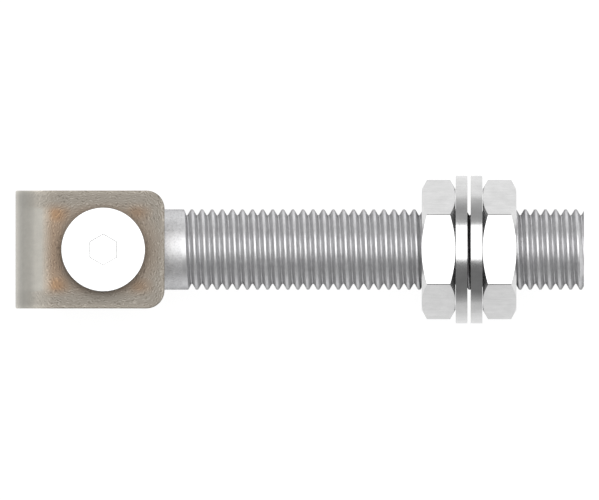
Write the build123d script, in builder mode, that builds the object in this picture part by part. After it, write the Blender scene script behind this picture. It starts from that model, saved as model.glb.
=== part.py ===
from build123d import *
import math
import os

os.makedirs("parts", exist_ok=True)

# Adjustable gate hinge to weld on: a fork bent from flat bar holds an upright pin, an eye bolt
# swings on the pin, and two thin nuts with washers clamp the gate's frame on its stud.
# The origin is the middle of the flat face that is welded to the post. +X runs out along
# the eye bolt, +Z runs up along the pin, and all sizes are in millimetres.

# Eye bolt
stud_diameter = 19.9
eye_diameter = 28.0
eye_face_step = 0.05
eye_bevel = 2.2
bore_chamfer = 0.6
stud_reach = 119.0
stud_end_chamfer = 0.5

# Fork
plate_thickness = 6.0
bar_width = 29.2
bend_radius = 4.0
leg_past_pin = 15.2
leg_corner_radius = 4.5
edge_bevel = 0.4

# Pin with its low head and hexagon socket
pin_diameter = 12.0
head_diameter = 20.8
head_height = 4.0
head_chamfer = 0.4
socket_across_flats = 6.8
socket_depth = 3.4
pin_tip_length = 1.8
pin_tip_chamfer = 1.0

# Self-locking nut under the fork
lock_nut_wall = 3.5
lock_nut_height = 12.0
lock_nut_hexagon = 8.6
collar_skin = 0.9
collar_lip = 0.7
ring_wall = 1.3
ring_height = 2.2

# Thin nuts and washers that clamp the gate's frame
nut_across_flats = 30.0
nut_thickness = 8.34
nut_countersink = 0.8
washer_diameter = 36.6
washer_thickness = 2.9
washer_play = 0.55
washer_gap = 0.81
clamp_place = 90.57

# Clearances
pin_running_clearance = 0.05
pin_hole_clearance = 0.15
eye_side_clearance = 0.3
eye_back_clearance = 1.7
nut_bore_clearance = 0.1
seat_clearance = 0.08

# Sizes that follow from those above
stud_radius = stud_diameter / 2
eye_radius = eye_diameter / 2
eye_width = stud_diameter + 2 * eye_face_step
pin_radius = pin_diameter / 2
pin_place = plate_thickness + eye_back_clearance + eye_radius
inner_half = eye_width / 2 + eye_side_clearance
outer_half = inner_half + plate_thickness
leg_end = pin_place + leg_past_pin
head_top = outer_half + head_height
stud_end = pin_place + stud_reach

pin_axis = Axis((pin_place, 0, 0), (0, 0, 1))
pin_section = Plane((pin_place, 0, 0), x_dir=(1, 0, 0), z_dir=(0, -1, 0))


def across(x):
    """A sketch plane square to the stud, with its own x along +Y."""
    return Plane((x, 0, 0), x_dir=(0, 1, 0), z_dir=(1, 0, 0))


# Fork: one flat bar bent to a U, with both free ends rounded off
with BuildPart() as u_bracket:
    with BuildSketch(Plane.XZ):
        with BuildLine():
            outer = FilletPolyline(
                (leg_end, outer_half),
                (0, outer_half),
                (0, -outer_half),
                (leg_end, -outer_half),
                radius=bend_radius + plate_thickness,
            )
            inner = FilletPolyline(
                (leg_end, inner_half),
                (plate_thickness, inner_half),
                (plate_thickness, -inner_half),
                (leg_end, -inner_half),
                radius=bend_radius,
            )
            Line(outer @ 0, inner @ 0)
            Line(outer @ 1, inner @ 1)
        make_face()
    extrude(amount=bar_width / 2, both=True)
    fillet(u_bracket.edges().filter_by(Axis.Z).group_by(Axis.X)[-1], leg_corner_radius)
    bend_lines = u_bracket.edges().filter_by(Axis.Y).group_by(Axis.X)[:-1]
    smooth_lines = [edge for group in bend_lines for edge in group]
    smooth_lines += u_bracket.edges().filter_by(Axis.Z)
    rims = [edge for edge in u_bracket.edges() if edge not in smooth_lines]
    chamfer(rims, edge_bevel)
    with Locations((pin_place, 0, outer_half)):
        Hole(pin_radius + pin_hole_clearance)

u_bracket.part.label = "u_bracket"
export_step(u_bracket.part, "parts/u_bracket.step")


# Pin: a low flat head with a hexagon socket, and a plain round body down to its end
pin_bottom = -outer_half - lock_nut_height - pin_tip_length
with BuildPart() as pin_bolt:
    with BuildSketch(pin_section):
        with BuildLine():
            Polyline(
                (0, pin_bottom),
                (pin_radius - pin_tip_chamfer, pin_bottom),
                (pin_radius, pin_bottom + pin_tip_chamfer),
                (pin_radius, outer_half),
                (head_diameter / 2, outer_half),
                (head_diameter / 2, head_top - head_chamfer),
                (head_diameter / 2 - head_chamfer, head_top),
                (0, head_top),
                close=True,
            )
        make_face()
    revolve(axis=pin_axis)
    with BuildSketch(Plane((pin_place, 0, head_top))):
        RegularPolygon(socket_across_flats / 2, 6, major_radius=False, rotation=30)
    extrude(amount=-socket_depth, mode=Mode.SUBTRACT)

pin_bolt.part.label = "pin_bolt"
export_step(pin_bolt.part, "parts/pin_bolt.step")


# Self-locking nut: a hexagon against the fork, and a round collar whose lip holds the ring in
lock_bore = pin_radius + pin_running_clearance
ring_seat = lock_bore + ring_wall
collar_radius = ring_seat + collar_skin
lock_flats = pin_radius + lock_nut_wall
lock_corners = lock_flats / math.cos(math.radians(30))
lock_bevel = (lock_corners - lock_flats) * math.tan(math.radians(30))
nut_top = -outer_half
hexagon_end = nut_top - lock_nut_hexagon
collar_end = nut_top - lock_nut_height
ring_top = collar_end + collar_lip + ring_height

with BuildPart() as pin_lock_nut:
    with BuildSketch(Plane((pin_place, 0, nut_top))):
        RegularPolygon(lock_flats, 6, major_radius=False, rotation=30)
    extrude(amount=-lock_nut_hexagon)
    with BuildSketch(pin_section):
        with BuildLine():
            Polyline(
                (0, nut_top),
                (lock_flats, nut_top),
                (lock_corners, nut_top - lock_bevel),
                (lock_corners, hexagon_end + lock_bevel),
                (lock_flats, hexagon_end),
                (0, hexagon_end),
                close=True,
            )
        make_face()
    revolve(axis=pin_axis, mode=Mode.INTERSECT)
    with BuildSketch(Plane((pin_place, 0, hexagon_end))):
        Circle(collar_radius)
    extrude(amount=collar_end - hexagon_end)
    chamfer(pin_lock_nut.edges().group_by(Axis.Z)[0], collar_lip)
    with BuildSketch(Plane((pin_place, 0, nut_top))):
        Circle(lock_bore)
    extrude(amount=collar_end - nut_top, mode=Mode.SUBTRACT)
    with BuildSketch(Plane((pin_place, 0, ring_top))):
        Circle(ring_seat)
    extrude(amount=-ring_height, mode=Mode.SUBTRACT)

pin_lock_nut.part.label = "pin_lock_nut"
export_step(pin_lock_nut.part, "parts/pin_lock_nut.step")


# Soft ring that grips the pin's end
with BuildPart() as pin_nut_ring:
    with BuildSketch(Plane((pin_place, 0, ring_top))):
        Circle(ring_seat)
        Circle(lock_bore, mode=Mode.SUBTRACT)
    extrude(amount=-ring_height)

pin_nut_ring.part.label = "pin_nut_ring"
export_step(pin_nut_ring.part, "parts/pin_nut_ring.step")


# Eye bolt: the eye and its round stud in one piece, the stud at the thread's outer diameter
with BuildPart() as eye_bolt:
    with BuildSketch(Plane((pin_place, 0, -eye_width / 2))):
        Circle(eye_radius)
    extrude(amount=eye_width)
    chamfer(eye_bolt.edges().filter_by(GeomType.CIRCLE), eye_bevel)
    with BuildSketch(Plane.XZ):
        with BuildLine():
            Polyline(
                (pin_place, 0),
                (pin_place, stud_radius),
                (stud_end - stud_end_chamfer, stud_radius),
                (stud_end, stud_radius - stud_end_chamfer),
                (stud_end, 0),
                close=True,
            )
        make_face()
    revolve(axis=Axis.X)
    with BuildSketch(pin_section):
        with BuildLine():
            bore = pin_radius + pin_running_clearance
            face = eye_width / 2
            Polyline(
                (0, -face),
                (bore + bore_chamfer, -face),
                (bore, -face + bore_chamfer),
                (bore, face - bore_chamfer),
                (bore + bore_chamfer, face),
                (0, face),
                close=True,
            )
        make_face()
    revolve(axis=pin_axis, mode=Mode.SUBTRACT)

eye_bolt.part.label = "eye_bolt"
export_step(eye_bolt.part, "parts/eye_bolt.step")


# Washers and thin nuts, stacked outwards from the gap that the gate's frame fills
gap_middle = pin_place + clamp_place
inner_washer_face = gap_middle - washer_gap / 2 - washer_thickness
outer_washer_face = gap_middle + washer_gap / 2
inner_nut_face = inner_washer_face - seat_clearance - nut_thickness
outer_nut_face = outer_washer_face + washer_thickness + seat_clearance

for name, near_face in (("inner_washer", inner_washer_face), ("outer_washer", outer_washer_face)):
    with BuildPart() as washer:
        with BuildSketch(across(near_face)):
            Circle(washer_diameter / 2)
            Circle(stud_radius + washer_play, mode=Mode.SUBTRACT)
        extrude(amount=washer_thickness)
    washer.part.label = name
    export_step(washer.part, f"parts/{name}.step")

nut_flats = nut_across_flats / 2
nut_corners = nut_flats / math.cos(math.radians(30))
nut_bevel = (nut_corners - nut_flats) * math.tan(math.radians(30))
nut_bore = stud_radius + nut_bore_clearance

for name, near_face in (("inner_nut", inner_nut_face), ("outer_nut", outer_nut_face)):
    far_face = near_face + nut_thickness
    with BuildPart() as gate_nut:
        with BuildSketch(across(near_face)):
            RegularPolygon(nut_flats, 6, major_radius=False)
        extrude(amount=nut_thickness)
        with BuildSketch(Plane.XZ):
            with BuildLine():
                Polyline(
                    (near_face, 0),
                    (near_face, nut_flats),
                    (near_face + nut_bevel, nut_corners),
                    (far_face - nut_bevel, nut_corners),
                    (far_face, nut_flats),
                    (far_face, 0),
                    close=True,
                )
            make_face()
        revolve(axis=Axis.X, mode=Mode.INTERSECT)
        with BuildSketch(Plane.XZ):
            with BuildLine():
                Polyline(
                    (near_face, 0),
                    (near_face, nut_bore + nut_countersink),
                    (near_face + nut_countersink, nut_bore),
                    (far_face - nut_countersink, nut_bore),
                    (far_face, nut_bore + nut_countersink),
                    (far_face, 0),
                    close=True,
                )
            make_face()
        revolve(axis=Axis.X, mode=Mode.SUBTRACT)
    gate_nut.part.label = name
    export_step(gate_nut.part, f"parts/{name}.step")
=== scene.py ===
import math

import bmesh
import bpy
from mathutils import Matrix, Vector


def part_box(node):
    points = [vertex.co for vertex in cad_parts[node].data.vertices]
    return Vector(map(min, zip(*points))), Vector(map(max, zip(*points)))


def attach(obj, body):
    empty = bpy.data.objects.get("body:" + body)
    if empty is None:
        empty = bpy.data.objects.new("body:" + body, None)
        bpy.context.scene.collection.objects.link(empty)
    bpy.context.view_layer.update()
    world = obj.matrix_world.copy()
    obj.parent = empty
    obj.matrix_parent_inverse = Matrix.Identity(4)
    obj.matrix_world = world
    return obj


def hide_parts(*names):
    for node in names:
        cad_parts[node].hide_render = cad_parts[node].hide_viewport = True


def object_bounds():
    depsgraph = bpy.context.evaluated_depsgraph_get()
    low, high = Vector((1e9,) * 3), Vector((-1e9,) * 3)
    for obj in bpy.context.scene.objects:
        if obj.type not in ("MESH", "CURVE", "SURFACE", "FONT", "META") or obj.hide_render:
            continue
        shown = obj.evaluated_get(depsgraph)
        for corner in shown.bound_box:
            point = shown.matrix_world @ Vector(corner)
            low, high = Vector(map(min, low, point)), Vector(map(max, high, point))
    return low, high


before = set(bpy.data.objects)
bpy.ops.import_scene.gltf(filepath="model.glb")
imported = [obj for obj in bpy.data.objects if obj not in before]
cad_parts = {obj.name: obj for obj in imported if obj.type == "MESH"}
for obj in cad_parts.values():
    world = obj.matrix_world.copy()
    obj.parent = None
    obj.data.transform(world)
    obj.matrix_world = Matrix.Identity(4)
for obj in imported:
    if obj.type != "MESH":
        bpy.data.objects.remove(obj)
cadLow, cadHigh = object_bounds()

mm = 0.001
touch = 0.01 * mm        # two places nearer than this are the same
weldGap = 0.001 * mm     # two vertices nearer than this are one
quarterTurn = math.radians(90)
sharpTurn = math.radians(60)
hexagonTurn = math.radians(30)
hexagonSides = 6
fineSides = 128

# Places that the CAD model gives for the fork, the pin and the eye bolt
forkLow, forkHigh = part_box("u_bracket")
pinLow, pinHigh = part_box("pin_bolt")
boltLow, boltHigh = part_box("eye_bolt")
pinX = (pinLow.x + pinHigh.x) / 2
pinPlace = (pinX, 0)
headRadius = pinHigh.y


# Small hand tools

def putDownAll():
    if bpy.context.object and bpy.context.object.mode != "OBJECT":
        bpy.ops.object.mode_set(mode="OBJECT")
    bpy.ops.object.select_all(action="DESELECT")


def takeUp(piece):
    putDownAll()
    piece.select_set(True)
    bpy.context.view_layer.objects.active = piece


def nameIt(name):
    piece = bpy.context.object
    piece.name = name
    piece.data.name = name
    bpy.ops.object.transform_apply(location=True, rotation=True, scale=True)
    return piece


def editMode(piece):
    takeUp(piece)
    bpy.ops.object.mode_set(mode="EDIT")
    bpy.ops.mesh.select_mode(type="VERT")


def pick(piece, kind, test):
    # kind is VERT, EDGE or FACE
    bpy.ops.mesh.select_mode(type=kind)
    bpy.ops.mesh.select_all(action="DESELECT")
    mesh = bmesh.from_edit_mesh(piece.data)
    for part in {"VERT": mesh.verts, "EDGE": mesh.edges, "FACE": mesh.faces}[kind]:
        if test(part):
            part.select_set(True)
    if kind == "VERT":
        mesh.select_flush_mode()
    bmesh.update_edit_mesh(piece.data)


def bevelEdges(width, segments=1):
    bpy.ops.mesh.bevel(offset=width, segments=segments, affect="EDGES")
    bpy.ops.object.mode_set(mode="OBJECT")


def bevelRim(piece, test, width, segments=1):
    # the rim is all edges whose two ends pass the test
    editMode(piece)
    pick(piece, "EDGE", lambda edge: all(test(vert.co) for vert in edge.verts))
    bevelEdges(width, segments)


def push(x=0.0, y=0.0, z=0.0):
    bpy.ops.mesh.extrude_region_move(TRANSFORM_OT_translate={"value": (x, y, z)})


def runModifier(piece, kind, **settings):
    takeUp(piece)
    modifier = piece.modifiers.new(kind.title(), kind)
    for key, value in settings.items():
        setattr(modifier, key, value)
    bpy.ops.object.modifier_apply(modifier=modifier.name)


def roundEdges(piece, width, segments):
    runModifier(piece, "BEVEL", width=width, segments=segments, limit_method="ANGLE",
                angle_limit=sharpTurn)


def combine(piece, tool, how):
    runModifier(piece, "BOOLEAN", object=tool, operation=how, solver="EXACT")
    takeUp(tool)
    bpy.ops.object.delete()
    takeUp(piece)


def cleanSkin(piece, smoothDegrees=35):
    editMode(piece)
    bpy.ops.mesh.select_all(action="SELECT")
    bpy.ops.mesh.remove_doubles(threshold=weldGap)
    bpy.ops.mesh.dissolve_degenerate(threshold=weldGap / 2)
    bpy.ops.mesh.select_all(action="SELECT")
    bpy.ops.mesh.delete_loose()
    bpy.ops.mesh.select_all(action="SELECT")
    bpy.ops.mesh.normals_make_consistent(inside=False)
    bpy.ops.object.mode_set(mode="OBJECT")
    bpy.ops.object.shade_smooth_by_angle(angle=math.radians(smoothDegrees))
    runModifier(piece, "WEIGHTED_NORMAL", keep_sharp=True)


def onAxis(axis, along, across):
    # x, y and z from one number along the axis and two across it
    return (along, *across) if axis == "X" else (*across, along)


def addRound(name, radius, near, far, axis="Z", place=(0, 0), sides=96):
    # a round bar from near to far along an axis, place is where that axis stands
    putDownAll()
    turn = (0, quarterTurn, 0) if axis == "X" else (0, 0, 0)
    bpy.ops.mesh.primitive_cylinder_add(
        vertices=sides, radius=radius, depth=abs(far - near),
        location=onAxis(axis, (near + far) / 2, place), rotation=turn)
    return nameIt(name)


def finishPiece(piece, material, body, slotName, *nodes):
    piece.data.materials.clear()
    piece.data.materials.append(material)
    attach(piece, body)
    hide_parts(*nodes)


# Nodes of a material, where a shade is a colour or, for a grey, one number

noiseLow, noiseHigh = 0.3, 0.7       # a noise seldom goes past these
mixSockets = (0, 6, 7)               # of a colour mix: its factor and its two colours
mixResult = 2


def paint(shade):
    red, green, blue = shade if isinstance(shade, tuple) else (shade, shade, shade)
    return (red, green, blue, 1)


def newMaterial(name):
    material = bpy.data.materials.new(name)
    material.use_nodes = True
    tree = material.node_tree
    tree.nodes.clear()
    output = tree.nodes.new("ShaderNodeOutputMaterial")
    shader = tree.nodes.new("ShaderNodeBsdfPrincipled")
    tree.links.new(shader.outputs["BSDF"], output.inputs["Surface"])
    return material, tree, shader


def addNode(tree, kind, **settings):
    node = tree.nodes.new(kind)
    for key, value in settings.items():
        setattr(node, key, value)
    return node


def setInput(tree, socket, value):
    if isinstance(value, bpy.types.NodeSocket):
        tree.links.new(value, socket)
    elif socket.type == "RGBA":
        socket.default_value = paint(value)
    else:
        socket.default_value = value


def setInputs(tree, node, values):
    for name, value in values.items():
        setInput(tree, node.inputs[name], value)


def splitAxes(tree, where):
    axes = addNode(tree, "ShaderNodeSeparateXYZ")
    setInputs(tree, axes, {"Vector": where})
    return axes.outputs


def addMath(tree, operation, *values):
    node = addNode(tree, "ShaderNodeMath", operation=operation)
    for socket, value in zip(node.inputs, values):
        setInput(tree, socket, value)
    return node.outputs[0]


def addVector(tree, operation, *values):
    node = addNode(tree, "ShaderNodeVectorMath", operation=operation)
    for socket, value in zip(node.inputs, values):
        setInput(tree, socket, value)
    return node.outputs["Value" if operation == "LENGTH" else "Vector"]


def addNoise(tree, where, scale, detail, roughness):
    noise = addNode(tree, "ShaderNodeTexNoise")
    setInputs(tree, noise, {
        "Vector": where, "Scale": scale, "Detail": detail, "Roughness": roughness})
    return noise.outputs["Fac"]


def addBrush(tree, where, scales, detail):
    # a noise drawn out along the axis with the smallest scale
    return addNoise(tree, addVector(tree, "MULTIPLY", where, scales), 1.0, detail, roughness=0.6)


def addRamp(tree, value, stops):
    ramp = addNode(tree, "ShaderNodeValToRGB")
    elements = ramp.color_ramp.elements
    while len(elements) < len(stops):
        elements.new(0.5)
    for element, (place, shade) in zip(elements, stops):
        element.position = place
        element.color = paint(shade)
    setInputs(tree, ramp, {"Fac": value})
    return ramp.outputs["Color"]


def addRange(tree, value, low, high, outLow=0.0, outHigh=1.0):
    node = addNode(tree, "ShaderNodeMapRange")
    setInputs(tree, node, {
        "Value": value, "From Min": low, "From Max": high, "To Min": outLow, "To Max": outHigh})
    return node.outputs["Result"]


def addInside(tree, value, border, softness):
    # 1 short of the border and 0 past it
    return addRange(tree, value, border - softness, border + softness, 1, 0)


def addMix(tree, factor, first, second, blend="MIX"):
    mix = addNode(tree, "ShaderNodeMix", data_type="RGBA", blend_type=blend)
    for number, value in zip(mixSockets, (factor, first, second)):
        setInput(tree, mix.inputs[number], value)
    return mix.outputs[mixResult]


def addTint(tree, under, over):
    return addMix(tree, 1.0, under, over, "MULTIPLY")


def distanceFrom(tree, where, spot, keep):
    # metres from a spot, along the axes that keep marks with 1
    gap = addVector(tree, "MULTIPLY", addVector(tree, "SUBTRACT", where, spot), keep)
    return addVector(tree, "LENGTH", gap)


def addBump(tree, shader, height, strength, distance):
    bump = addNode(tree, "ShaderNodeBump")
    setInputs(tree, bump, {"Strength": strength, "Distance": distance, "Height": height})
    setInputs(tree, shader, {"Normal": bump.outputs["Normal"]})


# Zinc: bright on the turned and pressed parts, grainy on the eye bolt

cloudLow, cloudHigh = 0.35, 0.65
smoothZincLook = dict(
    light=0.745, dark=0.67, metal=1.0, edgeTint=0.9, roughLow=0.15, roughHigh=0.22,
    cloudScale=260.0, grainScale=2600.0, bump=0.06, bumpDepth=0.03 * mm,
    brushScales=(140.0, 1500.0, 1500.0), brushDark=0.93)
lockNutLook = dict(
    smoothZincLook, light=0.56, dark=0.47, roughLow=0.22, roughHigh=0.3,
    brushScales=(1200.0, 1200.0, 160.0), brushDark=0.9)
grainyZincLook = dict(
    light=(0.84, 0.84, 0.85), dark=(0.74, 0.74, 0.75), metal=0.8, edgeTint=0.0,
    roughLow=0.36, roughHigh=0.48, cloudScale=900.0, grainScale=2200.0,
    bump=0.5, bumpDepth=0.03 * mm, rootReach=8.5 * mm, ridgeReach=9.95 * mm,
    # painted shade in the thread's grooves, by distance from the axis
    paintedGrooveShade=[(0.0, 0.92), (0.08, 0.9), (0.2, 0.92), (0.75, 0.92), (0.9, 1.0)],
    shankEnd=41.2 * mm, shankBlend=0.2 * mm, shankRough=0.1,
    speckle=[(0.36, 0.86), (0.5, 1.0), (0.66, 1.08)])


def zincMaterial(name, look):
    material, tree, shader = newMaterial(name)
    where = addNode(tree, "ShaderNodeTexCoord").outputs["Object"]
    cloud = addNoise(tree, where, look["cloudScale"], detail=5.0, roughness=0.6)
    grain = addNoise(tree, where, look["grainScale"], detail=3.0, roughness=0.6)
    colour = addRamp(tree, cloud, [(cloudLow, look["dark"]), (cloudHigh, look["light"])])
    if "brushScales" in look:
        # faint tool marks, drawn out along one axis
        brush = addBrush(tree, where, look["brushScales"], detail=3.0)
        marks = addRamp(tree, brush, [(noiseLow, look["brushDark"]), (noiseHigh, 1.0)])
        colour = addTint(tree, colour, marks)
    if "paintedGrooveShade" in look:
        # painted shade: the thread's grooves are darkened against its ridges
        reach = distanceFrom(tree, where, (0, 0, 0), (0, 1, 1))
        level = addRange(tree, reach, look["rootReach"], look["ridgeReach"])
        colour = addTint(tree, colour, addRamp(tree, level, look["paintedGrooveShade"]))
    both = addMix(tree, 0.5, cloud, grain)
    rough = addRange(tree, both, noiseLow, noiseHigh, look["roughLow"], look["roughHigh"])
    if "shankEnd" in look:
        # the forged eye and shank are duller and more speckled than the rolled thread
        forged = addInside(tree, splitAxes(tree, where)["X"], look["shankEnd"], look["shankBlend"])
        speckled = addTint(tree, colour, addRamp(tree, grain, look["speckle"]))
        colour = addMix(tree, forged, colour, speckled)
        rough = addMath(tree, "ADD", rough, addMath(tree, "MULTIPLY", forged, look["shankRough"]))
    addBump(tree, shader, grain, look["bump"], look["bumpDepth"])
    setInputs(tree, shader, {
        "Base Color": colour, "Roughness": rough, "Metallic": look["metal"],
        "Specular Tint": look["edgeTint"]})
    return material


# Bare mill-finish steel of the fork

forkLook = dict(
    strokes=[(0.0, (0.175, 0.152, 0.126)), (0.35, (0.282, 0.253, 0.215)),
             (0.65, (0.308, 0.278, 0.239)), (1.0, (0.43, 0.395, 0.343))],
    middleX=21.0 * mm, halfX=15.6 * mm, halfY=14.6 * mm, outlinePower=4.0,
    strokeGap=0.6 * mm, windScale=350.0, wind=20.0, ruffleScale=1150.0, ruffle=13.0,
    breakScale=1700.0, breakLow=0.42, breakHigh=0.6, weakest=0.05,
    smooth=(0.30, 0.29, 0.263), brushScales=(60.0, 900.0, 900.0), brushDark=0.95, brushLight=1.05,
    outerStart=2.6 * mm, strokesStart=6.0 * mm, strokesFull=8.8 * mm, bendStrokes=0.06,
    bandHalf=10.3 * mm, bandEdge=0.25 * mm, bendEdge=0.7 * mm, reachX=12.0 * mm, headroom=3,
    # painted highlight and shade along the bend, standing in for the light its curve mirrors
    bendPaintedLight=[(0.0, 1.92), (0.1, 1.36), (0.16, 1.27), (0.28, 1.6), (0.41, 2.1), (0.48, 2.06),
               (0.6, 1.58), (0.74, 1.22), (0.9, 1.12)],
    bandPaintedLight=[(0.0, 1.07), (0.25, 1.11), (0.42, 1.2), (0.55, 1.2), (0.7, 1.05), (0.85, 1.0)],
    heat=(1.02, 0.73, 0.51), heatStart=6.4 * mm, heatFull=9.3 * mm, heatHalf=10.8 * mm,
    heatEdge=1.2 * mm, postHeat=0.62, postFade=11.0 * mm, postEnd=14.0 * mm,
    haloReach=4.6 * mm, halo=[(0.0, 0.85), (0.35, 0.55), (1.0, 0.0)], haloShare=0.48,
    # each spot has x, y and radius in millimetres, then its share of heat or its tone
    spotCore=0.8 * mm,
    heatSpots=[(10.2, 8.7, 5.0, 1.0), (10.2, -8.7, 5.0, 1.0),
               (30.0, 9.4, 4.4, 0.72), (30.4, -9.2, 4.4, 0.68)],
    # painted highlight: the two spots near the bend lighten it; the others darken the far corners
    # and the steel right of the head
    toneAndHighlightSpots=[(9.0, 8.4, 3.7, 1.18), (9.0, -8.5, 3.7, 1.18), (30.0, 9.4, 4.4, 0.9),
               (30.4, -9.2, 4.4, 0.94), (31.6, 0.0, 5.6, 0.91)],
    # painted contact shadow round the pin's head
    contactShadow=[(0.0, 0.58), (0.1, 0.78), (0.35, 0.95), (0.8, 1.0)],
    shadowShift=(-0.2 * mm, -0.3 * mm), shadowInset=0.2 * mm,
    lighterEdgeWidth=1.2 * mm, lighterEdgeLevel=1.3, metal=0.45, bendRough=0.42, flatRough=0.56,
    bump=0.3, bumpDepth=0.08 * mm, bendHeight=0.5)
fromAbove = (1, 1, 0)


def scaleSkin(tree, where, along, sideways):
    # mill scale: short winding strokes that follow the outline, ruffled by two noises and broken up
    s = forkLook
    overX = addMath(tree, "DIVIDE", addMath(tree, "SUBTRACT", along, s["middleX"]), s["halfX"])
    overY = addMath(tree, "DIVIDE", sideways, s["halfY"])
    powers = [addMath(tree, "POWER", addMath(tree, "ABSOLUTE", over), s["outlinePower"])
              for over in (overX, overY)]
    ring = addMath(tree, "POWER", addMath(tree, "ADD", *powers), 1 / s["outlinePower"])
    ring = addMath(tree, "MULTIPLY", ring, s["halfY"] * math.tau / s["strokeGap"])
    wind = addNoise(tree, where, s["windScale"], detail=1.0, roughness=0.5)
    ruffle = addNoise(tree, where, s["ruffleScale"], detail=1.0, roughness=0.5)
    turns = addMath(tree, "ADD", addMath(tree, "MULTIPLY", wind, s["wind"]),
                    addMath(tree, "MULTIPLY", ruffle, s["ruffle"]))
    wave = addMath(tree, "SINE", addMath(tree, "ADD", ring, turns))
    breaks = addNoise(tree, where, s["breakScale"], detail=3.0, roughness=0.6)
    strength = addRange(tree, breaks, s["breakLow"], s["breakHigh"], s["weakest"])
    stroke = addRange(tree, addMath(tree, "MULTIPLY", wave, strength), -1, 1)
    return addRamp(tree, stroke, s["strokes"])


def smoothSkin(tree, where):
    # the bend is smooth and paler, with faint lines along the bar
    s = forkLook
    brush = addBrush(tree, where, s["brushScales"], detail=4.0)
    marks = addRamp(tree, brush, [(noiseLow, s["brushDark"]), (noiseHigh, s["brushLight"])])
    return addTint(tree, s["smooth"], marks)


def paintBendLight(tree, skin, along, softBand):
    # painted highlight and shade along the bend, stronger in the middle band; a ramp holds no shade
    # above 1, so both are divided here and lifted again at the end
    s = forkLook
    alongBar = addRange(tree, along, 0, s["reachX"])
    bendLight, bandLight = (
        addRamp(tree, alongBar, [(place, shade / s["headroom"]) for place, shade in s[shades]])
        for shades in ("bendPaintedLight", "bandPaintedLight"))
    skin = addTint(tree, skin, bendLight)
    return addTint(tree, skin, addMix(tree, softBand, 1 / s["headroom"], bandLight))


def heatTint(tree, skin, where, along, across):
    # brown heat tint, strongest in four spots and round the pin's head
    s = forkLook
    reach = distanceFrom(tree, where, (*pinPlace, 0), fromAbove)
    halo = addRamp(tree, addRange(tree, reach, headRadius, headRadius + s["haloReach"]), s["halo"])
    postSide = addRange(tree, along, s["postFade"], s["postEnd"], s["postHeat"], 0)
    heat = addMath(tree, "MAXIMUM", addMath(tree, "MULTIPLY", halo, s["haloShare"]), postSide)
    for x, y, radius, share in s["heatSpots"]:
        gap = distanceFrom(tree, where, (x * mm, y * mm, 0), fromAbove)
        spot = addRange(tree, gap, s["spotCore"], radius * mm, share, 0)
        heat = addMath(tree, "MAXIMUM", heat, spot)
    within = addInside(tree, across, s["heatHalf"], s["heatEdge"])
    started = addRange(tree, along, s["heatStart"], s["heatFull"])
    heat = addMath(tree, "MULTIPLY", addMath(tree, "MULTIPLY", heat, within), started)
    return addMix(tree, heat, skin, addTint(tree, skin, s["heat"]))


def spotToneAndHighlight(tree, where, softBand):
    # spots made lighter or darker; the two near the bend are a painted highlight
    s = forkLook
    tone = 1.0
    for x, y, radius, spotLevel in s["toneAndHighlightSpots"]:
        gap = distanceFrom(tree, where, (x * mm, y * mm, 0), fromAbove)
        spot = addRange(tree, gap, s["spotCore"], radius * mm, 1, 0)
        spot = addMath(tree, "MULTIPLY", spot, softBand)
        tone = addMath(tree, "MULTIPLY", tone, addRange(tree, spot, 0, 1, 1, spotLevel))
    return tone


def forkMaterial():
    s = forkLook
    material, tree, shader = newMaterial("forkSteel")
    where = addNode(tree, "ShaderNodeTexCoord").outputs["Object"]
    axes = splitAxes(tree, where)
    along = axes["X"]
    across = addMath(tree, "ABSOLUTE", axes["Y"])
    band = addInside(tree, across, s["bandHalf"], s["bandEdge"])
    softBand = addInside(tree, across, s["bandHalf"], s["bendEdge"])

    # outside the middle band the strokes start nearer to the post
    start = addRange(tree, band, 0, 1, s["outerStart"], s["strokesStart"])
    flatPart = addRange(tree, along, start, s["strokesFull"], s["bendStrokes"])
    strokes = scaleSkin(tree, where, along, axes["Y"])
    skin = addMix(tree, flatPart, smoothSkin(tree, where), strokes)
    skin = paintBendLight(tree, skin, along, softBand)
    skin = heatTint(tree, skin, where, along, across)

    # painted contact shadow round the foot of the head
    shiftX, shiftY = s["shadowShift"]
    headShadowGap = distanceFrom(tree, where, (pinX + shiftX, shiftY, 0), fromAbove)
    headEdge = headRadius - s["shadowInset"]
    near = addRange(tree, headShadowGap, headEdge, headEdge + s["haloReach"])
    skin = addTint(tree, skin, addRamp(tree, near, s["contactShadow"]))
    # the colour is lighter near the outer edges
    pastEdge = addMath(tree, "MAXIMUM", addMath(tree, "SUBTRACT", across, forkHigh.y),
                       addMath(tree, "SUBTRACT", along, forkHigh.x))
    edgeTone = addRange(tree, pastEdge, -s["lighterEdgeWidth"], 0, 1, s["lighterEdgeLevel"])
    tone = addMath(tree, "MULTIPLY", edgeTone, spotToneAndHighlight(tree, where, softBand))
    lift = addMath(tree, "MULTIPLY", tone, s["headroom"] ** 2)

    height = addMix(tree, flatPart, s["bendHeight"], strokes)
    addBump(tree, shader, height, s["bump"], s["bumpDepth"])
    rough = addRange(tree, flatPart, 0, 1, s["bendRough"], s["flatRough"])
    setInputs(tree, shader, {
        "Base Color": addVector(tree, "MULTIPLY", skin, lift), "Roughness": rough,
        "Metallic": s["metal"]})
    return material


nylonLook = dict(
    dark=(0.68, 0.72, 0.76), light=(0.78, 0.80, 0.82), cloudScale=500.0, rough=0.42, depthShare=0.1)


def nylonMaterial():
    s = nylonLook
    material, tree, shader = newMaterial("nutRingNylon")
    where = addNode(tree, "ShaderNodeTexCoord").outputs["Object"]
    cloud = addNoise(tree, where, s["cloudScale"], detail=3.0, roughness=0.5)
    skin = addRamp(tree, cloud, [(noiseLow, s["dark"]), (noiseHigh, s["light"])])
    setInputs(tree, shader, {
        "Base Color": skin, "Roughness": s["rough"], "Subsurface Weight": s["depthShare"]})
    return material


# Fork: a flat bar, bent twice, with its free corners rounded and all its edges broken

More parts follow.
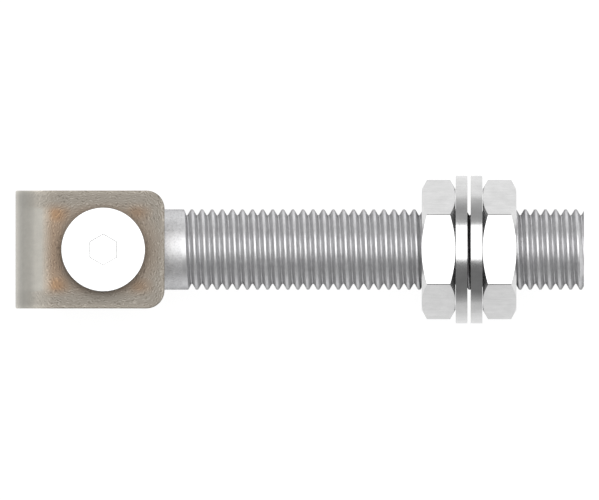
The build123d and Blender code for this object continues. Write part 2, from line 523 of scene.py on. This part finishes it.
forkSizes = dict(
    thickness=6.0 * mm, bendRadius=4.0 * mm, bendSteps=18, cornerRadius=4.5 * mm, cornerSteps=12,
    edgeRound=0.35 * mm, edgeSteps=3, holeRadius=6.15 * mm)


def makeFork():
    s = forkSizes
    length = forkHigh.x
    legMiddle = forkHigh.z - s["thickness"] / 2
    bendX = s["bendRadius"] + s["thickness"]
    bendZ = legMiddle - (s["bendRadius"] + s["thickness"] / 2)
    legLength = length - bendX

    # the middle of the bar: upper leg, bend, back, bend, lower leg
    putDownAll()
    bpy.ops.mesh.primitive_plane_add(size=1, location=(bendX + legLength / 2, 0, legMiddle))
    bpy.context.object.scale = (legLength, 2 * forkHigh.y, 1)
    fork = nameIt("forkBracket")
    editMode(fork)
    pick(fork, "EDGE", lambda edge: all(abs(vert.co.x - bendX) < touch for vert in edge.verts))
    bend = dict(steps=s["bendSteps"], angle=quarterTurn, axis=(0, 1, 0))
    bpy.ops.mesh.spin(center=(bendX, 0, bendZ), **bend)
    push(z=-2 * bendZ)
    bpy.ops.mesh.spin(center=(bendX, 0, -bendZ), **bend)
    push(x=legLength)
    bpy.ops.mesh.select_all(action="SELECT")
    bpy.ops.mesh.remove_doubles(threshold=weldGap)
    pick(fork, "VERT", lambda vert: vert.co.x > length - touch)
    bpy.ops.mesh.bevel(offset=s["cornerRadius"], segments=s["cornerSteps"], affect="VERTICES")
    bpy.ops.mesh.select_all(action="SELECT")
    bpy.ops.mesh.normals_make_consistent(inside=False)

    runModifier(fork, "SOLIDIFY", thickness=s["thickness"], offset=0, use_even_offset=True)
    roundEdges(fork, s["edgeRound"], s["edgeSteps"])
    drill = addRound("drill", s["holeRadius"], forkLow.z - mm, forkHigh.z + mm, place=pinPlace)
    combine(fork, drill, "DIFFERENCE")
    cleanSkin(fork)
    return fork


# Thread: one pitch of its section is drawn, then screwed along the bar

softPoints = 3          # at each corner
mostOfSide = 0.45       # that a soft corner may take of the side beside it
angleSlack = 0.001      # so that a vertex just short of the start counts as on it


def threadSection(sizes):
    # x runs along the bar from the middle of one ridge to the next, y points inwards
    pitch, depth = sizes["pitch"], sizes["depth"]
    crest, root = sizes["crestFlat"], sizes["rootFlat"]
    flank = (pitch - crest - root) / 2
    corners = [Vector(corner) for corner in (
        (0, 0), (crest / 2, 0), (crest / 2 + flank, depth),
        (crest / 2 + flank + root, depth), (pitch - crest / 2, 0), (pitch, 0))]
    points = [corners[0]]
    for before, corner, after in zip(corners, corners[1:], corners[2:]):
        into, out = before - corner, after - corner
        reach = min(sizes["softness"], into.length * mostOfSide, out.length * mostOfSide)
        into.normalize()
        out.normalize()
        for step in range(softPoints):
            share = step / (softPoints - 1)
            points.append(corner + into * reach * (1 - share) ** 2 + out * reach * share ** 2)
    points.append(corners[-1])
    return points


def screwSection(name, sizes, startX, endX):
    # the groove starts on the underside of the bar
    radius, pitch, steps = sizes["radius"], sizes["pitch"], sizes["steps"]
    turns = math.ceil((endX - startX) / pitch) + 1
    section = threadSection(sizes)

    putDownAll()
    bpy.ops.mesh.primitive_plane_add(size=pitch, location=(startX, 0, -radius))
    rod = nameIt(name)
    editMode(rod)
    bpy.ops.mesh.select_all(action="SELECT")
    bpy.ops.mesh.merge(type="CENTER")
    for here, there in zip(section, section[1:]):
        bpy.ops.mesh.extrude_vertices_move(
            TRANSFORM_OT_translate={"value": (there.x - here.x, 0, there.y - here.y)})
    runModifier(rod, "SCREW", axis="X", angle=math.tau, screw_offset=pitch, iterations=turns,
                steps=steps, render_steps=steps, use_merge_vertices=False)

    editMode(rod)
    bpy.ops.mesh.select_all(action="SELECT")
    bpy.ops.mesh.remove_doubles(threshold=2 * weldGap)
    bpy.ops.mesh.bisect(plane_co=(endX, 0, 0), plane_no=(1, 0, 0), clear_outer=True, use_fill=True,
                        threshold=weldGap / 10)
    return rod


def runIn(rod, sizes, startX):
    # over the run-in the groove sinks from the bar's surface to its full depth, and over the
    # whole first turn its flank at the shank is steeper
    radius, pitch = sizes["radius"], sizes["pitch"]
    mesh = bmesh.from_edit_mesh(rod.data)
    for vert in mesh.verts:
        turned = (math.atan2(vert.co.y, -vert.co.z) + angleSlack) % math.tau - angleSlack
        sectionX = vert.co.x - startX - pitch * turned / math.tau
        distance = math.hypot(vert.co.y, vert.co.z)
        if touch < sectionX < sizes["crestFlat"] / 2 + sizes["softness"]:
            vert.co.x += sizes["firstFlank"] * (1 - turned / math.tau)
        if sectionX < pitch - touch and turned < sizes["runIn"] and distance < radius:
            share = max(turned, 0) / sizes["runIn"]
            wanted = radius - (radius - distance) * share
            vert.co.y *= wanted / distance
            vert.co.z *= wanted / distance
    bmesh.update_edit_mesh(rod.data)


def growShank(rod, sizes, startX, shankX):
    # the plain bar grows from the first ridge's middle line, all but its last step
    def isHelixEdge(edge):
        a, b = (vert.co for vert in edge.verts)
        onSkin = all(abs(math.hypot(co.y, co.z) - sizes["radius"]) < touch / 2 for co in (a, b))
        turned = math.hypot(a.y - b.y, a.z - b.z) > abs(a.x - b.x)
        halfStep = 0.5 / sizes["steps"]
        lastStep = max(a.x, b.x) > startX + sizes["pitch"] * (1 - halfStep)
        return edge.is_boundary and onSkin and turned and not lastStep

    pick(rod, "EDGE", isHelixEdge)
    bpy.ops.mesh.extrude_edges_move(TRANSFORM_OT_translate={"value": (shankX - startX, 0, 0)})
    bpy.ops.transform.resize(value=(0, 1, 1), center_override=(shankX, 0, 0))
    pick(rod, "EDGE", lambda edge: (
        edge.is_boundary and max(vert.co.x for vert in edge.verts) > shankX + touch))
    bpy.ops.mesh.edge_face_add()
    pick(rod, "EDGE", lambda edge: edge.is_boundary)
    bpy.ops.mesh.edge_face_add()
    bpy.ops.object.mode_set(mode="OBJECT")


def makeThread(name, sizes, startX, endX, shankX):
    rod = screwSection(name, sizes, startX, endX)
    runIn(rod, sizes, startX)
    growShank(rod, sizes, startX, shankX)
    cleanSkin(rod)
    return rod


# Eye bolt: the threaded stud and the eye in one piece

studThread = dict(
    radius=9.95 * mm, pitch=2.5 * mm, depth=1.45 * mm, crestFlat=0.52 * mm, rootFlat=0.28 * mm,
    softness=0.1 * mm, steps=72, runIn=math.radians(80), firstFlank=0.36 * mm)
eyeSizes = dict(
    sideRidge=21.98 * mm, shankStart=4.0 * mm, bevel=2.2 * mm, bevelSteps=6,
    boreRadius=6.05 * mm, boreBevel=0.6 * mm)


def makeEyeBolt():
    s = eyeSizes
    # the helix starts underneath, one turn and a quarter before the ridge on the +Y side
    startX = pinX + s["sideRidge"] - studThread["pitch"] * 1.25
    bolt = makeThread("eyeBolt", studThread, startX, boltHigh.x, pinX + s["shankStart"])
    eye = addRound("eye", pinX - boltLow.x, boltLow.z, boltHigh.z, place=pinPlace, sides=fineSides)
    roundEdges(eye, s["bevel"], s["bevelSteps"])
    combine(bolt, eye, "UNION")
    bore = addRound("bore", s["boreRadius"], boltLow.z - mm, boltHigh.z + mm, place=pinPlace)
    combine(bolt, bore, "DIFFERENCE")

    def onBoreRim(co):
        reach = math.hypot(co.x - pinX, co.y)
        return abs(co.z) > boltHigh.z - touch and reach < s["boreRadius"] + touch

    bevelRim(bolt, onBoreRim, s["boreBevel"])
    cleanSkin(bolt)
    return bolt


# Pin: low round head with a key socket, plain body, thread at its tip

pinSizes = dict(
    headHeight=4.0 * mm, headBevel=0.15 * mm, headSteps=4, headSeat=0.3 * mm,
    threadStart=-19.0 * mm, tipChamfer=1.0 * mm, tipMargin=0.3 * mm,
    socketFlats=6.56 * mm, socketDepth=3.4 * mm, socketEdge=0.12 * mm)
pinThread = dict(
    radius=6.0 * mm, pitch=1.75 * mm, depth=1.05 * mm, crestFlat=0.26 * mm, rootFlat=0.22 * mm,
    softness=0.08 * mm, steps=64, runIn=math.radians(80), firstFlank=0.0)


def makePin():
    s = pinSizes
    headFoot = pinHigh.z - s["headHeight"]
    barTop = headFoot + s["headSeat"]

    # the bar is threaded along +X from the head's side, then stood upright with its tip down
    length = barTop - pinLow.z
    pin = makeThread("pinBolt", pinThread, barTop - s["threadStart"], length + mm, 0.0)
    blank = addRound("blank", pinThread["radius"] + s["tipMargin"], -mm, length, "X")
    bevelRim(blank, lambda co: co.x > length - touch, s["tipChamfer"] + s["tipMargin"])
    combine(pin, blank, "INTERSECT")
    editMode(pin)
    bpy.ops.mesh.select_all(action="SELECT")
    bpy.ops.transform.rotate(value=-quarterTurn, orient_axis="Y", center_override=(0, 0, 0))
    bpy.ops.transform.translate(value=(pinX, 0, barTop))
    bpy.ops.object.mode_set(mode="OBJECT")

    head = addRound("head", headRadius, headFoot, pinHigh.z, place=pinPlace, sides=fineSides)
    bevelRim(head, lambda co: co.z > pinHigh.z - touch, s["headBevel"], s["headSteps"])
    combine(pin, head, "UNION")
    key = addRound("key", s["socketFlats"] / 2 / math.cos(hexagonTurn),
                   pinHigh.z - s["socketDepth"], pinHigh.z + mm, place=pinPlace, sides=hexagonSides)
    combine(pin, key, "DIFFERENCE")

    def onSocketRim(co):
        return co.z > pinHigh.z - touch and math.hypot(co.x - pinX, co.y) < s["socketFlats"]

    bevelRim(pin, onSocketRim, s["socketEdge"])
    cleanSkin(pin)
    return pin


# Nuts: a hexagon whose corners are turned off at both faces, then bored and countersunk

blankSizes = dict(cornerBevel=0.14 * mm, spare=0.5 * mm)


def pickCap(piece, axis, height):
    number = "XYZ".index(axis)
    pick(piece, "FACE", lambda face: abs(face.calc_center_median()[number] - height) < touch)


def taperCap(axis, height, place, share):
    bpy.ops.transform.resize(value=onAxis(axis, 1, (share, share)),
                             center_override=onAxis(axis, height, place))


def hexagonBlank(name, flats, near, far, axis, place):
    s = blankSizes
    corners = flats / math.cos(hexagonTurn)
    slope = (corners - flats) * math.tan(hexagonTurn)
    number = "XYZ".index(axis)
    nut = addRound(name, corners, near - s["spare"], far + s["spare"], axis, place, hexagonSides)
    editMode(nut)
    pick(nut, "EDGE", lambda edge: abs(edge.verts[0].co[number] - edge.verts[1].co[number]) > mm)
    bevelEdges(s["cornerBevel"])
    lathe = addRound("lathe", corners + touch, near, far, axis, place, fineSides)
    editMode(lathe)
    for height, inwards in ((near, slope), (far, -slope)):
        pickCap(lathe, axis, height)
        bpy.ops.transform.translate(value=onAxis(axis, inwards, (0, 0)))
        push(*onAxis(axis, -inwards, (0, 0)))
        taperCap(axis, height, place, flats / corners)
    bpy.ops.object.mode_set(mode="OBJECT")
    combine(nut, lathe, "INTERSECT")
    return nut


def boreNut(nut, sizes, near, far, axis, place, sunkFaces):
    bore, countersink = sizes["boreRadius"], sizes["countersink"]
    wide = bore + countersink + mm
    reamer = addRound("reamer", bore, near - mm, far + mm, axis, place)
    combine(nut, reamer, "DIFFERENCE")
    for face in sunkFaces:
        outward = 1 if face == far else -1
        bottom = face - outward * countersink
        sink = addRound("sink", wide, bottom, face + outward * mm, axis, place)
        editMode(sink)
        pickCap(sink, axis, bottom)
        taperCap(axis, face, place, bore / wide)
        bpy.ops.object.mode_set(mode="OBJECT")
        combine(nut, sink, "DIFFERENCE")
    cleanSkin(nut, smoothDegrees=20)


gateNutSizes = dict(boreRadius=10.05 * mm, countersink=0.8 * mm)


def makeGateNut(name, node):
    low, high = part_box(node)
    nut = hexagonBlank(name, high.z, low.x, high.x, "X", (0, 0))
    boreNut(nut, gateNutSizes, low.x, high.x, "X", (0, 0), (low.x, high.x))
    return nut


# Lock nut: its round collar holds the soft ring

lockNutSizes = dict(
    boreRadius=6.05 * mm, countersink=0.5 * mm, hexagonHeight=8.6 * mm,
    collarRadius=8.25 * mm, collarRound=0.9 * mm, collarSteps=5)


def makeLockNut():
    s = lockNutSizes
    low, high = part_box("pin_lock_nut")
    ringLow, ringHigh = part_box("pin_nut_ring")
    foot = high.z - s["hexagonHeight"]
    nut = hexagonBlank("lockNut", high.x - pinX, foot, high.z, "Z", pinPlace)
    collar = addRound("collar", s["collarRadius"], low.z, foot + mm, place=pinPlace)
    bevelRim(collar, lambda co: co.z < low.z + touch, s["collarRound"], s["collarSteps"])
    combine(nut, collar, "UNION")
    seat = addRound("seat", ringHigh.x - pinX + touch, ringLow.z, ringHigh.z, place=pinPlace)
    combine(nut, seat, "DIFFERENCE")
    boreNut(nut, s, low.z, high.z, "Z", pinPlace, (high.z,))
    return nut


nutRingSizes = dict(play=0.02 * mm, edgeRound=0.15 * mm, edgeSteps=2)


def makeNutRing():
    s = nutRingSizes
    low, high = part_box("pin_nut_ring")
    ring = addRound("nutRing", high.x - pinX - s["play"], low.z + s["play"], high.z - s["play"],
                    place=pinPlace)
    hole = addRound("hole", lockNutSizes["boreRadius"], low.z - mm, high.z + mm, place=pinPlace)
    combine(ring, hole, "DIFFERENCE")
    roundEdges(ring, s["edgeRound"], s["edgeSteps"])
    cleanSkin(ring)
    return ring


washerSizes = dict(boreRadius=10.5 * mm, edgeRound=0.06 * mm, edgeSteps=3, rimSides=160)


def makeWasher(name, node):
    s = washerSizes
    low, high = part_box(node)
    washer = addRound(name, high.z, low.x, high.x, "X", sides=s["rimSides"])
    hole = addRound("hole", s["boreRadius"], low.x - mm, high.x + mm, "X", sides=fineSides)
    combine(washer, hole, "DIFFERENCE")
    roundEdges(washer, s["edgeRound"], s["edgeSteps"])
    cleanSkin(washer)
    return washer


# Camera, light and floor

viewSizes = dict(
    pictureWidth=599, pixelsPerMm=4.04, middleX=70.3 * mm, middleY=-0.12 * mm, height=1.5,
    clipNear=0.1, clipFar=5.0)


def makeCamera():
    # the photo shows no perspective, so the camera is parallel and looks straight down
    s = viewSizes
    data = bpy.data.cameras.new("viewCamera")
    data.type = "ORTHO"
    data.ortho_scale = s["pictureWidth"] / s["pixelsPerMm"] * mm
    data.clip_start = s["clipNear"]
    data.clip_end = s["clipFar"]
    camera = bpy.data.objects.new("viewCamera", data)
    bpy.context.scene.collection.objects.link(camera)
    camera.location = (s["middleX"], s["middleY"], s["height"])
    bpy.context.scene.camera = camera


lightSizes = dict(height=3.6, fromY=-1.06, toY=2.85, spanX=4.4, power=100.0)


def makeLight():
    s = lightSizes
    light = bpy.data.lights.new("overheadBox", "AREA")
    light.shape = "RECTANGLE"
    light.size = s["spanX"]
    light.size_y = s["toY"] - s["fromY"]
    light.energy = s["power"]
    lamp = bpy.data.objects.new("overheadBox", light)
    lamp.location = (viewSizes["middleX"], (s["toY"] + s["fromY"]) / 2, s["height"])
    bpy.context.scene.collection.objects.link(lamp)


roomLook = dict(
    backdrop=0.97, wallSpan=0.5, walls=[(0.3, 0.2), (0.7, 0.42)],
    horizon=[(0.0, 0.32), (0.12, 0.2), (0.35, 0.0)])


def makeWorld():
    # the camera sees a plain pale room, the parts mirror graded walls
    s = roomLook
    world = bpy.data.worlds.new("studio")
    bpy.context.scene.world = world
    world.use_nodes = True
    tree = world.node_tree
    tree.nodes.clear()
    axes = splitAxes(tree, addNode(tree, "ShaderNodeTexCoord").outputs["Generated"])
    side = addRamp(tree, addRange(tree, axes["Y"], -s["wallSpan"], s["wallSpan"]), s["walls"])
    lit = addMix(tree, 1.0, side, addRamp(tree, axes["Z"], s["horizon"]), "ADD")
    walls = addNode(tree, "ShaderNodeBackground")
    setInputs(tree, walls, {"Color": lit})
    pale = addNode(tree, "ShaderNodeBackground")
    setInputs(tree, pale, {"Color": s["backdrop"]})
    mix = addNode(tree, "ShaderNodeMixShader")
    cameraRay, forParts, forCamera = mix.inputs
    setInput(tree, cameraRay, addNode(tree, "ShaderNodeLightPath").outputs["Is Camera Ray"])
    setInput(tree, forParts, walls.outputs["Background"])
    setInput(tree, forCamera, pale.outputs["Background"])
    output = addNode(tree, "ShaderNodeOutputWorld")
    tree.links.new(mix.outputs["Shader"], output.inputs["Surface"])


floorLook = dict(
    size=8.0, gap=0.05 * mm, white=0.2, rough=0.9, seen=0.9, glowReach=0.3,
    glow=[(0.0, 0.53), (0.3, 0.59), (0.35, 0.68), (0.385, 0.78), (0.42, 0.81), (0.46, 0.9),
          (0.6, 0.9), (0.7, 0.80), (1.0, 0.78)])


def makeFloor():
    s = floorLook
    putDownAll()
    bpy.ops.mesh.primitive_plane_add(
        size=s["size"], location=(viewSizes["middleX"], 0, cadLow.z - s["gap"]))
    floor = nameIt("paleFloor")
    material, tree, shader = newMaterial("paleFloor")
    axes = splitAxes(tree, addNode(tree, "ShaderNodeTexCoord").outputs["Object"])
    glow = addRamp(tree, addRange(tree, axes["Y"], -s["glowReach"], s["glowReach"]), s["glow"])
    # the parts mirror the graded light, the floor itself is plain
    cameraRay = addNode(tree, "ShaderNodeLightPath").outputs["Is Camera Ray"]
    setInputs(tree, shader, {
        "Base Color": s["white"], "Roughness": s["rough"], "Emission Strength": 1.0,
        "Emission Color": addMix(tree, cameraRay, glow, s["seen"])})
    floor.data.materials.append(material)


bpy.context.scene.view_settings.view_transform = "Standard"
makeCamera()
makeLight()
makeWorld()
makeFloor()
print("studio ready")

smoothZinc = zincMaterial("smoothZinc", smoothZincLook)
lockNutZinc = zincMaterial("lockNutZinc", lockNutLook)
grainyZinc = zincMaterial("grainyZinc", grainyZincLook)
steel = forkMaterial()
nylon = nylonMaterial()

finishPiece(makeFork(), steel, "post_fork", "bare_steel", "u_bracket")
print("fork bent")
finishPiece(makePin(), smoothZinc, "post_fork", "zinc_steel", "pin_bolt")
finishPiece(makeLockNut(), lockNutZinc, "post_fork", "zinc_steel", "pin_lock_nut")
finishPiece(makeNutRing(), nylon, "post_fork", "nylon", "pin_nut_ring")
print("pin and lock nut made")
finishPiece(makeEyeBolt(), grainyZinc, "eye_bolt", "zinc_steel", "eye_bolt")
print("eye bolt threaded")
for side in ("inner", "outer"):
    washer, nut = side + "_washer", side + "_nut"
    finishPiece(makeWasher(side + "Washer", washer), smoothZinc, washer, "zinc_steel", washer)
    finishPiece(makeGateNut(side + "Nut", nut), smoothZinc, nut, "zinc_steel", nut)
print("washers and nuts stacked")
